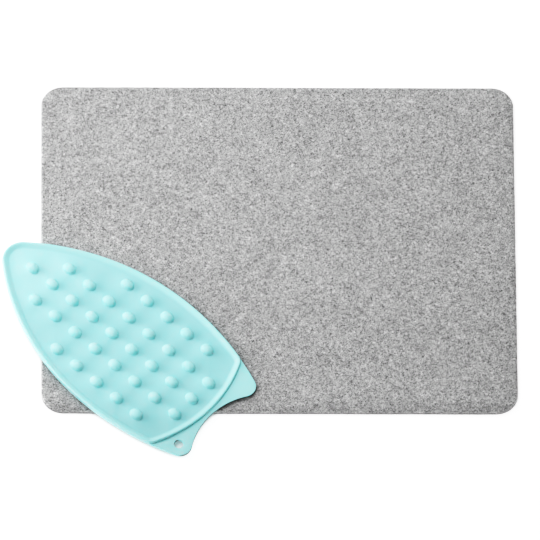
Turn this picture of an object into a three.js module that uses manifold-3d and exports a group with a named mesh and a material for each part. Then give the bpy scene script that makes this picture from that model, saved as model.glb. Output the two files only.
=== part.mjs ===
// Ironing pad: a needled wool-felt pressing mat with a moulded silicone iron rest laid across its front
// left corner. Millimetres, +Z up. The origin is the middle of the mat's underside, the mat's long side
// runs along X and its front edge faces -Y.
import * as THREE from 'three';
import { mergeVertices } from 'three/addons/utils/BufferGeometryUtils.js';
import Module from 'manifold-3d';

// Felt mat
const MAT_LENGTH = 431.8;
const MAT_DEPTH = 342.9;
const MAT_THICKNESS = 5;
const MAT_CORNER_RADIUS = 20;
const MAT_EDGE_RADIUS = 1.4;

// Iron rest in plan. Its axis of symmetry runs from nose to tail, and stations count from the nose's tip.
const REST_WIDTH = 142;
const NOSE_RADIUS = 19.2;
const NOSE_TO_WIDEST = 162;
const REAR_SIDE_RADIUS = 274;
const WIDEST_TO_HEEL = 89.2;
const HEEL_RADIUS = 130;
const HEEL_CORNER_RADIUS = 10;
const HEEL_TO_TAIL = 2.5;
const TAIL_RADIUS = 64;
const EAR_TIP_RADIUS = 10;

// Iron rest in section
const FLOOR_THICKNESS = 2.5;
const EAR_THICKNESS = 2.4;
const BEAD_WIDTH = 7.2;
const BEAD_CREST_INSET = 0.6;
const BEAD_HEIGHT = 2.4;
const UNDER_EDGE_RADIUS = 0.5;
const EAR_ROOT = 3;

// Nubs that carry the hot sole plate: oval domes in rows across the floor
const NUB_LENGTH = 13.6;
const NUB_WIDTH = 10.2;
const NUB_HEIGHT = 5;
const NUB_FIRST_STATION = 33.5;
const NUB_ROW_PITCH = 24.6;
const NUB_INNER_COLUMN = 22.3;
const NUB_OUTER_COLUMN = 46.3;
const NUB_TO_BEAD = 1.4;
const NUB_ROOT = 1;

// Hang hole through one ear
const HANG_HOLE_DIAMETER = 8.4;
const HANG_HOLE_SETBACK = 3;

// How the rest lies on the mat
const NOSE_OVERHANG = 31;
const NOSE_FROM_FRONT = 170.3;
const REST_TURN_DEGREES = -43.5;
const SEAT_GAP = 0.3;

// Fineness of the facets
const ARC_SAG = 0.06;
const CORNER_STEPS = 8;
const BEAD_STEPS = 4;
const NUB_SIDES = 14;
const NUB_STEPS = 4;
const EDGE_STEPS = 3;

const FELT = { color: 0xb2b2b1, roughness: 0.95, metalness: 0 };
const SILICONE = { color: 0xb4e8e8, roughness: 0.45, metalness: 0 };

const wasm = await Module();
wasm.setup();

// A closed three.js geometry as a solid: shared corners are merged and faces without area left out.
function toSolid(geometry) {
  geometry.deleteAttribute('normal');
  geometry.deleteAttribute('uv');
  const merged = mergeVertices(geometry);
  const corners = merged.index.array;
  const triangles = [];
  for (let i = 0; i < corners.length; i += 3) {
    const [a, b, c] = corners.slice(i, i + 3);
    if (a !== b && b !== c && c !== a) triangles.push(a, b, c);
  }
  return new wasm.Manifold(new wasm.Mesh({
    numProp: 3,
    vertProperties: new Float32Array(merged.attributes.position.array),
    triVerts: new Uint32Array(triangles),
  }));
}

function toGeometry(solid) {
  const mesh = solid.getMesh();
  const geometry = new THREE.BufferGeometry();
  geometry.setAttribute('position', new THREE.BufferAttribute(new Float32Array(mesh.vertProperties), 3));
  geometry.setIndex(new THREE.BufferAttribute(new Uint32Array(mesh.triVerts), 1));
  geometry.computeVertexNormals();
  return geometry;
}

function namedMesh(name, solid, finish) {
  const mesh = new THREE.Mesh(toGeometry(solid), new THREE.MeshStandardMaterial(finish));
  mesh.name = name;
  return mesh;
}

// A flat plate of an outline, rounded over along its top and bottom edges
function roundedPlate(outline, thickness, edgeRadius) {
  const plate = new THREE.ExtrudeGeometry(outline, {
    depth: thickness - 2 * edgeRadius,
    bevelThickness: edgeRadius,
    bevelSize: edgeRadius,
    bevelOffset: -edgeRadius,
    bevelSegments: EDGE_STEPS,
    curveSegments: CORNER_STEPS,
  });
  return plate.translate(0, 0, edgeRadius);
}

function arcSteps(radius, sweep) {
  return Math.ceil(Math.abs(sweep) / (2 * Math.acos(1 - ARC_SAG / radius)));
}

// The crossing of two circles that lies on the +Y side
function circlesMeet(centreA, radiusA, centreB, radiusB) {
  const apart = new THREE.Vector2().subVectors(centreB, centreA);
  const gap = apart.length();
  const along = (gap * gap + radiusA * radiusA - radiusB * radiusB) / (2 * gap);
  const across = Math.sqrt(radiusA * radiusA - along * along);
  const unit = apart.divideScalar(gap);
  const foot = centreA.clone().addScaledVector(unit, along);
  const normal = new THREE.Vector2(-unit.y, unit.x);
  const side = normal.y >= 0 ? 1 : -1;
  return foot.addScaledVector(normal, side * across);
}

function bearing(from, to) {
  return Math.atan2(to.y - from.y, to.x - from.x);
}

// Arcs of the plan on its +Y side, each tangent to the next. An arc runs from one bearing to another.
const halfWidth = REST_WIDTH / 2;
const heelStation = NOSE_TO_WIDEST + WIDEST_TO_HEEL;
const tailStation = heelStation + HEEL_TO_TAIL;
const noseCentre = new THREE.Vector2(NOSE_RADIUS, 0);
const foreSideRadius = ((NOSE_TO_WIDEST - NOSE_RADIUS) ** 2 + halfWidth ** 2 - NOSE_RADIUS ** 2)
  / (2 * (halfWidth - NOSE_RADIUS));
const foreSideCentre = new THREE.Vector2(NOSE_TO_WIDEST, halfWidth - foreSideRadius);
const rearSideCentre = new THREE.Vector2(NOSE_TO_WIDEST, halfWidth - REAR_SIDE_RADIUS);
const heelCentre = new THREE.Vector2(heelStation - HEEL_RADIUS, 0);
const heelCornerCentre = circlesMeet(
  rearSideCentre, REAR_SIDE_RADIUS - HEEL_CORNER_RADIUS,
  heelCentre, HEEL_RADIUS - HEEL_CORNER_RADIUS,
);
const tailCentre = new THREE.Vector2(tailStation + TAIL_RADIUS, 0);
const earCentre = circlesMeet(
  rearSideCentre, REAR_SIDE_RADIUS - EAR_TIP_RADIUS,
  tailCentre, TAIL_RADIUS + EAR_TIP_RADIUS,
);

const sideBearing = bearing(foreSideCentre, noseCentre);
const cornerStart = bearing(rearSideCentre, heelCornerCentre);
const cornerEnd = bearing(heelCentre, heelCornerCentre);
const arcs = {
  nose: { centre: noseCentre, radius: NOSE_RADIUS, from: Math.PI, to: sideBearing },
  foreSide: { centre: foreSideCentre, radius: foreSideRadius, from: sideBearing, to: Math.PI / 2 },
  rearSide: { centre: rearSideCentre, radius: REAR_SIDE_RADIUS, from: Math.PI / 2, to: cornerStart },
  heelCorner: { centre: heelCornerCentre, radius: HEEL_CORNER_RADIUS, from: cornerStart, to: cornerEnd },
  heel: { centre: heelCentre, radius: HEEL_RADIUS, from: cornerEnd, to: 0 },
};

// Points along an arc, drawn in by an inset, without the arc's last point
function arcPoints(arc, inset) {
  const sweep = arc.to - arc.from;
  const steps = arcSteps(arc.radius, sweep);
  return Array.from({ length: steps }, (_, i) => {
    const angle = arc.from + sweep * i / steps;
    return new THREE.Vector2(Math.cos(angle), Math.sin(angle))
      .multiplyScalar(arc.radius - inset).add(arc.centre);
  });
}

// The tray's closed outline, drawn in by an inset. Every inset has the same number of points.
function trayOutline(inset) {
  const upper = Object.values(arcs).flatMap((arc) => arcPoints(arc, inset));
  const heelTip = new THREE.Vector2(heelStation - inset, 0);
  const lower = upper.slice(1).reverse().map((p) => new THREE.Vector2(p.x, -p.y));
  return [...upper, heelTip, ...lower];
}

// The section from the underside, up the wall, over the bead and down to the floor, as [inset, height]
function traySection() {
  const section = [];
  for (let i = 0; i <= EDGE_STEPS; i += 1) {
    const turn = (Math.PI / 2) * i / EDGE_STEPS;
    section.push([UNDER_EDGE_RADIUS * (1 - Math.sin(turn)), UNDER_EDGE_RADIUS * (1 - Math.cos(turn))]);
  }
  for (let i = 0; i <= BEAD_STEPS; i += 1) {
    const turn = (Math.PI / 2) * i / BEAD_STEPS;
    section.push([BEAD_CREST_INSET * (1 - Math.cos(turn)), FLOOR_THICKNESS + BEAD_HEIGHT * Math.sin(turn)]);
  }
  const slopeWidth = BEAD_WIDTH - BEAD_CREST_INSET;
  for (let i = 1; i <= BEAD_STEPS; i += 1) {
    const share = i / BEAD_STEPS;
    const fall = (1 + Math.cos(Math.PI * share)) / 2;
    section.push([BEAD_CREST_INSET + slopeWidth * share, FLOOR_THICKNESS + BEAD_HEIGHT * fall]);
  }
  return section;
}

// A skin through rings of points, closed by a flat face on the first and the last ring
function loft(rings) {
  const count = rings[0].length;
  const positions = rings.flat().flatMap((p) => [p.x, p.y, p.z]);
  const faces = [];
  for (let ring = 0; ring + 1 < rings.length; ring += 1) {
    for (let i = 0; i < count; i += 1) {
      const a = ring * count + i;
      const b = ring * count + (i + 1) % count;
      faces.push(a, a + count, b, b, a + count, b + count);
    }
  }
  const last = (rings.length - 1) * count;
  for (const [a, b, c] of THREE.ShapeUtils.triangulateShape(rings[0], [])) faces.push(a, c, b);
  for (const [a, b, c] of THREE.ShapeUtils.triangulateShape(rings.at(-1), [])) {
    faces.push(last + a, last + b, last + c);
  }
  const geometry = new THREE.BufferGeometry();
  geometry.setAttribute('position', new THREE.Float32BufferAttribute(positions, 3));
  geometry.setIndex(faces);
  return geometry;
}

function buildTray() {
  const rings = traySection().map(([inset, height]) => (
    trayOutline(inset).map((p) => new THREE.Vector3(p.x, p.y, height))
  ));
  return toSolid(loft(rings));
}

// The flat flange behind the heel: two ears with a hollow between them. Its inner edge lies buried under
// the heel's bead, and its sides carry on the side arcs of the tray.
function buildEars() {
  const earStart = bearing(rearSideCentre, earCentre);
  const earEnd = bearing(earCentre, tailCentre);
  const hollow = bearing(tailCentre, earCentre);
  const outline = new THREE.Shape();
  outline.absarc(rearSideCentre.x, rearSideCentre.y, REAR_SIDE_RADIUS, cornerStart, earStart, true);
  outline.absarc(earCentre.x, earCentre.y, EAR_TIP_RADIUS, earStart, earEnd, true);
  outline.absarc(tailCentre.x, 0, TAIL_RADIUS, hollow, -hollow, false);
  outline.absarc(earCentre.x, -earCentre.y, EAR_TIP_RADIUS, -earEnd, -earStart, true);
  outline.absarc(rearSideCentre.x, -rearSideCentre.y, REAR_SIDE_RADIUS, -earStart, -cornerStart, true);
  const corner = HEEL_CORNER_RADIUS - EAR_ROOT;
  outline.absarc(heelCornerCentre.x, -heelCornerCentre.y, corner, -cornerStart, -cornerEnd, false);
  outline.absarc(heelCentre.x, 0, HEEL_RADIUS - EAR_ROOT, -cornerEnd, cornerEnd, false);
  outline.absarc(heelCornerCentre.x, heelCornerCentre.y, corner, cornerEnd, cornerStart, false);
  const hangHole = new THREE.Path();
  hangHole.absarc(earCentre.x - HANG_HOLE_SETBACK, -earCentre.y, HANG_HOLE_DIAMETER / 2, 0, 2 * Math.PI);
  outline.holes.push(hangHole);
  return toSolid(roundedPlate(outline, EAR_THICKNESS, UNDER_EDGE_RADIUS));
}

// Half the width of the tray at a station ahead of the heel
function sideAt(station) {
  const arc = station < NOSE_TO_WIDEST ? arcs.foreSide : arcs.rearSide;
  return arc.centre.y + Math.sqrt(arc.radius ** 2 - (station - arc.centre.x) ** 2);
}

function heelAt(across) {
  return heelCentre.x + Math.sqrt(HEEL_RADIUS ** 2 - across ** 2);
}

// Every place of the grid of nubs that keeps clear of the bead
function nubPlaces() {
  const clear = BEAD_WIDTH + NUB_TO_BEAD;
  const columns = [0, NUB_INNER_COLUMN, -NUB_INNER_COLUMN, NUB_OUTER_COLUMN, -NUB_OUTER_COLUMN];
  const places = [];
  for (let station = NUB_FIRST_STATION; station < heelStation; station += NUB_ROW_PITCH) {
    for (const column of columns) {
      const reach = Math.abs(column) + NUB_WIDTH / 2;
      const fitsSides = reach + clear <= sideAt(station);
      const fitsHeel = station + NUB_LENGTH / 2 + clear <= heelAt(reach);
      if (fitsSides && fitsHeel) places.push(new THREE.Vector2(station, column));
    }
  }
  return places;
}

// One nub: a round dome of radius 1 on a root sunk in the floor, stretched to its oval
function buildNub(place) {
  const profile = [new THREE.Vector2(0, -NUB_ROOT), new THREE.Vector2(1, -NUB_ROOT)];
  for (let i = 0; i <= NUB_STEPS; i += 1) {
    const turn = (Math.PI / 2) * i / NUB_STEPS;
    profile.push(new THREE.Vector2(Math.cos(turn), NUB_HEIGHT * Math.sin(turn)));
  }
  const dome = new THREE.LatheGeometry(profile, NUB_SIDES).rotateX(Math.PI / 2);
  dome.scale(NUB_LENGTH / 2, NUB_WIDTH / 2, 1).translate(place.x, place.y, FLOOR_THICKNESS);
  return toSolid(dome);
}

function buildRest() {
  const plate = buildTray().add(buildEars());
  return nubPlaces().reduce((rest, place) => rest.add(buildNub(place)), plate);
}

function buildMat() {
  const x = MAT_LENGTH / 2 - MAT_CORNER_RADIUS;
  const y = MAT_DEPTH / 2 - MAT_CORNER_RADIUS;
  const quarter = Math.PI / 2;
  const outline = new THREE.Shape();
  outline.absarc(x, y, MAT_CORNER_RADIUS, 0, quarter);
  outline.absarc(-x, y, MAT_CORNER_RADIUS, quarter, 2 * quarter);
  outline.absarc(-x, -y, MAT_CORNER_RADIUS, 2 * quarter, 3 * quarter);
  outline.absarc(x, -y, MAT_CORNER_RADIUS, 3 * quarter, 4 * quarter);
  return toSolid(roundedPlate(outline, MAT_THICKNESS, MAT_EDGE_RADIUS));
}

const pad = new THREE.Group();
pad.add(namedMesh('felt_mat', buildMat(), FELT));

const restPlace = new THREE.Group();
restPlace.position.set(
  -MAT_LENGTH / 2 - NOSE_OVERHANG,
  -MAT_DEPTH / 2 + NOSE_FROM_FRONT,
  MAT_THICKNESS + SEAT_GAP,
);
restPlace.rotation.z = THREE.MathUtils.degToRad(REST_TURN_DEGREES);
restPlace.add(namedMesh('iron_rest', buildRest(), SILICONE));
pad.add(restPlace);

export default pad;
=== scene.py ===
# %% [markdown]
# # A felt ironing pad and its silicone iron rest
# The real thing is two loose pieces. A slab of needled wool felt takes the heat and steam of pressing, and an
# aqua silicone rest, moulded in the shape of a sole plate, lies across one corner to park the hot iron on.
# Everything here is in metres, in the frame of the construction model: +X along the mat, +Z up, the origin in the
# middle of the mat's underside. The construction model is loaded first, because every piece is fitted to it.

# %% Load the construction model
import math

import bmesh
import bpy
import numpy as np
from mathutils import Matrix, Vector, geometry, noise


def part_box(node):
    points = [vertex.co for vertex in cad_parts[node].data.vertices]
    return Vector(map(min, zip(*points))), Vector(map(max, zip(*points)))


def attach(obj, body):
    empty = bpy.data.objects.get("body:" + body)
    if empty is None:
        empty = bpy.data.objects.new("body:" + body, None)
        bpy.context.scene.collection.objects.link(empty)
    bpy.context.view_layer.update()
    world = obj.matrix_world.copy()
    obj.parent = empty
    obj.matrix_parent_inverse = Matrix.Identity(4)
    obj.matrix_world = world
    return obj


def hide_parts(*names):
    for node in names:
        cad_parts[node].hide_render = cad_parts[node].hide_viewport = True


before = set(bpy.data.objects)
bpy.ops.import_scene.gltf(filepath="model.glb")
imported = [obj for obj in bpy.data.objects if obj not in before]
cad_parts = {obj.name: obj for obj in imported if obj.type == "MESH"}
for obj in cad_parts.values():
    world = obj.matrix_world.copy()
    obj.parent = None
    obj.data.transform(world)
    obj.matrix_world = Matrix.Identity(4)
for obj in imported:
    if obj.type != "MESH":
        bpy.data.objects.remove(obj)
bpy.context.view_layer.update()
mat_low, mat_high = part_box("felt_mat")
rest_low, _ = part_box("iron_rest")
MM = 0.001

# %% [markdown]
# ## The camera
# The picture is taken from far away through a long lens, so the mat's long edges stay almost parallel. The camera
# looks down at about 59 degrees and is rolled by two. Its place is worked out from the point that it aims at, its
# distance and those angles, and its lens from the width of the strip that fills the picture at that distance.

# %% Place the camera
CAMERA_AZIMUTH = math.radians(-2.107)
CAMERA_ELEVATION = math.radians(59.486)
CAMERA_ROLL = math.radians(1.967)
CAMERA_DISTANCE = 16.0
PICTURE_WIDTH = 491.77 * MM
SENSOR_WIDTH = 36.0
AIM = Vector((-7.94 * MM, -22.80 * MM, mat_high.z))


def look_axes(azimuth, elevation, roll):
    """The camera's right, up and backward directions."""
    flat = math.cos(elevation)
    back = Vector((math.sin(azimuth) * flat, -math.cos(azimuth) * flat, math.sin(elevation)))
    level_right = Vector((math.cos(azimuth), math.sin(azimuth), 0))
    level_up = back.cross(level_right)
    right = level_right * math.cos(roll) + level_up * math.sin(roll)
    up = level_up * math.cos(roll) - level_right * math.sin(roll)
    return right, up, back


def add_camera():
    right, up, back = look_axes(CAMERA_AZIMUTH, CAMERA_ELEVATION, CAMERA_ROLL)
    lens = bpy.data.cameras.new("camera")
    lens.sensor_width = SENSOR_WIDTH
    lens.lens = SENSOR_WIDTH * CAMERA_DISTANCE / PICTURE_WIDTH
    lens.clip_start = CAMERA_DISTANCE / 100
    lens.clip_end = CAMERA_DISTANCE * 2
    camera = bpy.data.objects.new("camera", lens)
    turn = Matrix((right, up, back)).transposed().to_4x4()
    camera.matrix_world = Matrix.Translation(AIM + back * CAMERA_DISTANCE) @ turn
    bpy.context.scene.collection.objects.link(camera)
    bpy.context.scene.camera = camera
    return camera


camera = add_camera()
print("camera lens in mm:", round(camera.data.lens, 1))

# %% [markdown]
# ## Studio light
# The felt is brightest at the back left and falls off towards the front right. Each nub on the rest is bright on its
# upper left and dark on its lower right, and its shadow is short and soft. That is a tall soft box low at the left,
# one smaller light above the front left and another above the back, and two weak ones at the right and the front
# that keep the far sides from going dark. White surroundings fill in the rest. All the lamps are area lights, because
# the size of a light is what makes a shadow soft.

# %% Light the scene
LIT_SPOT = (-0.10, -0.03, 0)
ROOM_STRENGTH = 0.043
SOFT_LIGHTS = {
    # Each has its place and size in metres, and its power in watts.
    "left_light": ((-1.56, 0.23, 0.60), (0.5, 0.9), 11.9),
    "key_light": ((-0.60, -0.53, 1.44), (0.5, 0.5), 4.9),
    "back_light": ((-0.37, 0.68, 1.15), (0.4, 0.4), 5.2),
    "right_light": ((0.96, 1.03, 0.55), (0.8, 0.8), 2.7),
    "front_light": ((-0.10, -1.53, 0.55), (0.8, 0.8), 1.0),
}


def add_soft_light(name, place, size, power):
    lamp = bpy.data.lights.new(name, "AREA")
    lamp.shape = "RECTANGLE"
    lamp.size, lamp.size_y = size
    lamp.energy = power
    light = bpy.data.objects.new(name, lamp)
    light.location = place
    light.rotation_euler = (Vector(LIT_SPOT) - Vector(place)).to_track_quat("-Z", "Y").to_euler()
    light.visible_camera = False
    bpy.context.scene.collection.objects.link(light)
    return light


def set_surroundings(strength):
    world = bpy.data.worlds.new("white_room")
    world.use_nodes = True
    backdrop = world.node_tree.nodes["Background"]
    backdrop.inputs["Color"].default_value = (1, 1, 1, 1)
    backdrop.inputs["Strength"].default_value = strength
    bpy.context.scene.world = world


for light_name, (light_place, light_size, light_power) in SOFT_LIGHTS.items():
    add_soft_light(light_name, light_place, light_size, light_power)
set_surroundings(ROOM_STRENGTH)

# %% [markdown]
# ## A camera's tone curve
# A camera doesn't show light levels as they are: it darkens the deep tones, lifts the middle ones and rolls off the
# bright ones, so that a white table stays clean. All tones of the aqua silicone, from shade to light, lie on one such
# curve in each colour. So the view transform is Standard, which adds no look of its own, and the curve is laid over
# the whole picture in the colour management. The materials can then keep plain colours.

# %% Give the picture a camera's tone curve
TONE_CURVE = ((0, 0), (0.05, 0.05), (0.1, 0.148), (0.18, 0.332), (0.28, 0.531), (0.42, 0.723), (0.62, 0.876), (1, 1))
ALL_COLOURS = 3


def set_curve(mapping, curve, points):
    """Lay a curve through a list of points."""
    while len(curve.points) < len(points):
        curve.points.new(0.5, 0.5)
    for point, place in zip(curve.points, points):
        point.location = place
    mapping.update()


def set_tone(points):
    view = bpy.context.scene.view_settings
    view.view_transform = "Standard"
    view.use_curve_mapping = True
    set_curve(view.curve_mapping, view.curve_mapping.curves[ALL_COLOURS], points)
    return view.curve_mapping


tone_mapping = set_tone(TONE_CURVE)
print("a light level of 0.3 is shown as", round(tone_mapping.evaluate(tone_mapping.curves[ALL_COLOURS], 0.3), 3))

# %% [markdown]
# ## Node helpers
# Materials and Geometry Nodes trees are both built from nodes and links. These helpers keep that short: `add_node`
# makes a node and fills its settings and inputs, where an input is either a plain value or the output of another
# node. The output that a node is known for is its first one, unless another is named.


# %% Helpers for nodes
def add_node(tree, kind, inputs=None, **settings):
    node = tree.nodes.new(kind)
    for name, value in settings.items():
        setattr(node, name, value)
    for name, value in (inputs or {}).items():
        socket = node.inputs[name]
        if isinstance(value, bpy.types.Node):
            value = value.outputs[0]
        if isinstance(value, bpy.types.NodeSocket):
            tree.links.new(value, socket)
        else:
            socket.default_value = value
    return node


def add_math(tree, operation, first, second=0.0):
    return add_node(tree, "ShaderNodeMath", {0: first, 1: second}, operation=operation)


def new_group(name, kind, takes, gives):
    """A node group with named inputs and outputs, and its input and output nodes."""
    group = bpy.data.node_groups.new(name, kind)
    for title, socket_type, value in takes:
        socket = group.interface.new_socket(title, in_out="INPUT", socket_type="NodeSocket" + socket_type)
        if value is not None:
            socket.default_value = value
    for title, socket_type in gives:
        group.interface.new_socket(title, in_out="OUTPUT", socket_type="NodeSocket" + socket_type)
    return group, group.nodes.new("NodeGroupInput"), group.nodes.new("NodeGroupOutput")


print("node helpers:", [helper.__name__ for helper in (add_node, add_math, new_group)])

# %% [markdown]
# ## The floor
# The pad lies on a plain pale table top that fades into white. A large plane does it, made by a helper that turns a
# list of corners and faces into an object. Its material gives off light of its own, so that the floor stays white
# where the lamps fall off. Under the rest's nose and tail, which hang out over the table, it must not glow, or their
# soft shadow would vanish. An Ambient Occlusion node tells how open the space above each spot is, and the glow fades
# where little is open. The faint cloudy tone comes from the node group made here. The same group later gives the felt
# and the silicone their uneven tone.


# %% A shared node group for cloudy tone
def make_cloudy_tone():
    takes = [("Coordinates", "Vector", None), ("Patch Size", "Float", 0.02), ("Amount", "Float", 0.1)]
    group, given, result = new_group("cloudy_tone", "ShaderNodeTree", takes, [("Tone", "Float")])
    scale = add_math(group, "DIVIDE", 1.0, given.outputs["Patch Size"])
    cloud = add_node(group, "ShaderNodeTexNoise", {
        "Vector": given.outputs["Coordinates"], "Scale": scale, "Detail": 3.0, "Roughness": 0.55})
    centred = add_math(group, "SUBTRACT", cloud.outputs[0], 0.5)
    swing = add_math(group, "MULTIPLY", centred, given.outputs["Amount"])
    tone = add_math(group, "ADD", swing, 1.0)
    group.links.new(tone.outputs[0], result.inputs["Tone"])
    return group


cloudy_tone = make_cloudy_tone()


def add_cloud(tree, coordinates, patch_size, amount):
    return add_node(tree, "ShaderNodeGroup", {
        "Coordinates": coordinates, "Patch Size": patch_size, "Amount": amount}, node_tree=cloudy_tone)


print("group:", cloudy_tone.name, [item.name for item in cloudy_tone.interface.items_tree])

# %% The floor's material
FLOOR_GREY = 0.55
FLOOR_CLOUD = (400 * MM, 0.02)
FLOOR_ROUGHNESS = 0.9
FLOOR_GLOW = 0.78
OPEN_REACH = 30 * MM
OPEN_RANGE = (0.25, 0.55)
HIDDEN_GLOW = 0.1


def new_material(name):
    """A material's tree and its Principled shader."""
    material = bpy.data.materials.new(name)
    material.use_nodes = True
    return material, material.node_tree, material.node_tree.nodes["Principled BSDF"]


def floor_material():
    material, tree, shader = new_material("pale_floor")
    coordinates = add_node(tree, "ShaderNodeTexCoord").outputs["Object"]
    cloud = add_cloud(tree, coordinates, *FLOOR_CLOUD)
    grey = add_math(tree, "MULTIPLY", cloud.outputs["Tone"], FLOOR_GREY)
    tree.links.new(grey.outputs[0], shader.inputs["Base Color"])
    shader.inputs["Roughness"].default_value = FLOOR_ROUGHNESS
    shader.inputs["Specular IOR Level"].default_value = 0.0
    openness = add_node(tree, "ShaderNodeAmbientOcclusion", {"Distance": OPEN_REACH}).outputs["AO"]
    glow = add_node(tree, "ShaderNodeMapRange", {
        "Value": openness, "From Min": OPEN_RANGE[0], "From Max": OPEN_RANGE[1], "To Min": HIDDEN_GLOW},
        interpolation_type="SMOOTHSTEP")
    tree.links.new(glow.outputs[0], shader.inputs["Emission Color"])
    shader.inputs["Emission Strength"].default_value = FLOOR_GLOW
    return material


floor_finish = floor_material()
print("floor material nodes:", len(floor_finish.node_tree.nodes))

# %% Lay the floor
FLOOR_HALF = 10.0
FLOOR_DROP = 0.1 * MM


def mesh_piece(name, corners, faces):
    mesh = bpy.data.meshes.new(name)
    mesh.from_pydata([tuple(corner) for corner in corners], [], faces)
    mesh.validate()
    piece = bpy.data.objects.new(name, mesh)
    bpy.context.scene.collection.objects.link(piece)
    return piece


def lay_floor():
    corners = [(x * FLOOR_HALF, y * FLOOR_HALF, -FLOOR_DROP) for x, y in ((-1, -1), (1, -1), (1, 1), (-1, 1))]
    floor = mesh_piece("floor", corners, [(0, 1, 2, 3)])
    floor.data.materials.append(floor_finish)
    return floor


floor = lay_floor()
print("floor side in m:", 2 * FLOOR_HALF)

# %% [markdown]
# ## The felt slab
# Needled felt is a thick, dense sheet of matted wool: its top is never quite flat, and a die cuts its outline, so the
# edge is square with a slight round. A cloth simulation suits a filled cushion, but a felt slab has no cover and no
# filling that could swell, so it is modelled directly. A grid of points is laid on the rounded rectangle, the points
# near each corner are drawn onto the corner's arc, and the top is lifted and lowered a little by noise. The edge is a
# stack of rings that share the grid's border. A hole in a skin is a fault that a render may hide, so the open edges
# are counted at the end: every edge of a closed skin has exactly two faces.

# %% The slab's sizes
CORNER_RADIUS = 20 * MM
TOP_EDGE_RADIUS = 1.4 * MM
UNDER_EDGE_RADIUS = 0.8 * MM
GRID_STEP = 2.0 * MM
EDGE_STEPS = 4
RELIEF = ((28 * MM, 0.10 * MM), (9 * MM, 0.08 * MM), (4.5 * MM, 0.07 * MM))
EDGE_WAVE = ((35 * MM, 0.18 * MM), (6 * MM, 0.12 * MM))
EDGE_SWELL = 0.35 * MM
SWELL_POWER = 3
TOP_SEED = 1.7
EDGE_SEED = 7.3
mat_half = np.array([mat_high.x, mat_high.y])
mat_thickness = mat_high.z
print("slab in mm:", (2 * mat_half / MM).round(1), round(mat_thickness / MM, 2))

# %% Lay a grid on a rounded rectangle
TINY = 1e-9


def onto_mat(plain, inset):
    """Carry points of the plain rectangle onto the mat's rounded outline, drawn in by an inset."""
    straight = mat_half - CORNER_RADIUS
    size = np.abs(plain)
    over = np.clip((size - straight) / CORNER_RADIUS, 0, 1)
    reach = np.hypot(over[:, 0], over[:, 1])
    pull = np.where(reach > 0, over.max(axis=1) / np.maximum(reach, TINY), 1)
    return np.sign(plain) * (np.minimum(size, straight) + over * pull[:, None] * (CORNER_RADIUS - inset))


def grid_points():
    """The plain rectangle's grid, row by row, and its border as indices going round."""
    columns, rows = (np.ceil(2 * mat_half / GRID_STEP)).astype(int) + 1
    x = np.linspace(-mat_half[0], mat_half[0], columns)
    y = np.linspace(-mat_half[1], mat_half[1], rows)
    points = np.stack(np.meshgrid(x, y), axis=-1).reshape(-1, 2)
    index = np.arange(rows * columns).reshape(rows, columns)
    border = np.concatenate([index[0, :-1], index[:-1, -1], index[-1, :0:-1], index[:0:-1, 0]])
    return points, index, border


def waves(points, bands, seed):
    """Smooth noise at every point: a sum of bands, each with its wavelength and its height."""
    total = np.zeros(len(points))
    for wavelength, height in bands:
        total += height * np.array([noise.noise(Vector((x / wavelength, y / wavelength, seed))) for x, y in points])
    return total


plain_grid, grid_index, grid_border = grid_points()
print("grid rows and columns:", grid_index.shape, "border points:", len(grid_border))


# %% The section of the slab's edge
def edge_section():
    """The edge from the top face's border down to the underside's, as (inset, height)."""
    quarter = np.linspace(0, math.pi / 2, EDGE_STEPS + 1)
    top = [(TOP_EDGE_RADIUS * (1 - math.sin(t)), mat_thickness - TOP_EDGE_RADIUS * (1 - math.cos(t)))
           for t in quarter]
    under = [(UNDER_EDGE_RADIUS * (1 - math.cos(t)), UNDER_EDGE_RADIUS * (1 - math.sin(t))) for t in quarter]
    return top + [(0, mat_thickness / 2)] + under


slab_edge = edge_section()
print("rings in the edge:", len(slab_edge))


# %% Build the slab
def grid_faces(first):
    """Upward faces of a grid whose points are numbered from a first one."""
    index = grid_index + first
    a, b, c, d = index[:-1, :-1], index[:-1, 1:], index[1:, 1:], index[1:, :-1]
    return np.stack([a, b, c, d], axis=-1).reshape(-1, 4)


def open_edges(mesh):
    shell = bmesh.new()
    shell.from_mesh(mesh)
    count = sum(1 for edge in shell.edges if len(edge.link_faces) != 2)
    shell.free()
    return count


def build_slab():
    wander = EDGE_SWELL + waves(onto_mat(plain_grid[grid_border], 0), EDGE_WAVE, EDGE_SEED)
    top = onto_mat(plain_grid, slab_edge[0][0])
    lift = waves(top, RELIEF, TOP_SEED)
    corners = [np.column_stack([top, mat_thickness + lift])]
    rings = [grid_border]
    count = len(plain_grid)
    for inset, height in slab_edge[1:-1]:
        ring = onto_mat(plain_grid[grid_border], inset)
        outward = np.where(np.abs(ring) > mat_half - CORNER_RADIUS, np.sign(ring), 0)
        share = height / mat_thickness
        ring = ring + outward * wander[:, None] * (1 - abs(2 * share - 1) ** SWELL_POWER)
        corners.append(np.column_stack([ring, height + lift[grid_border] * share]))
        rings.append(count + np.arange(len(grid_border)))
        count += len(grid_border)
    under = onto_mat(plain_grid, slab_edge[-1][0])
    corners.append(np.column_stack([under, np.zeros(len(under))]))
    rings.append(count + grid_border)
    faces = grid_faces(0).tolist() + grid_faces(count)[:, [0, 3, 2, 1]].tolist()
    for upper, lower in zip(rings, rings[1:]):
        faces += np.column_stack([upper, lower, np.roll(lower, -1), np.roll(upper, -1)]).tolist()
    slab = mesh_piece("felt_slab", np.concatenate(corners), faces)
    slab.data.shade_smooth()
    return slab


felt_slab = build_slab()
print("felt slab faces:", len(felt_slab.data.polygons), "open edges:", open_edges(felt_slab.data))

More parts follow.
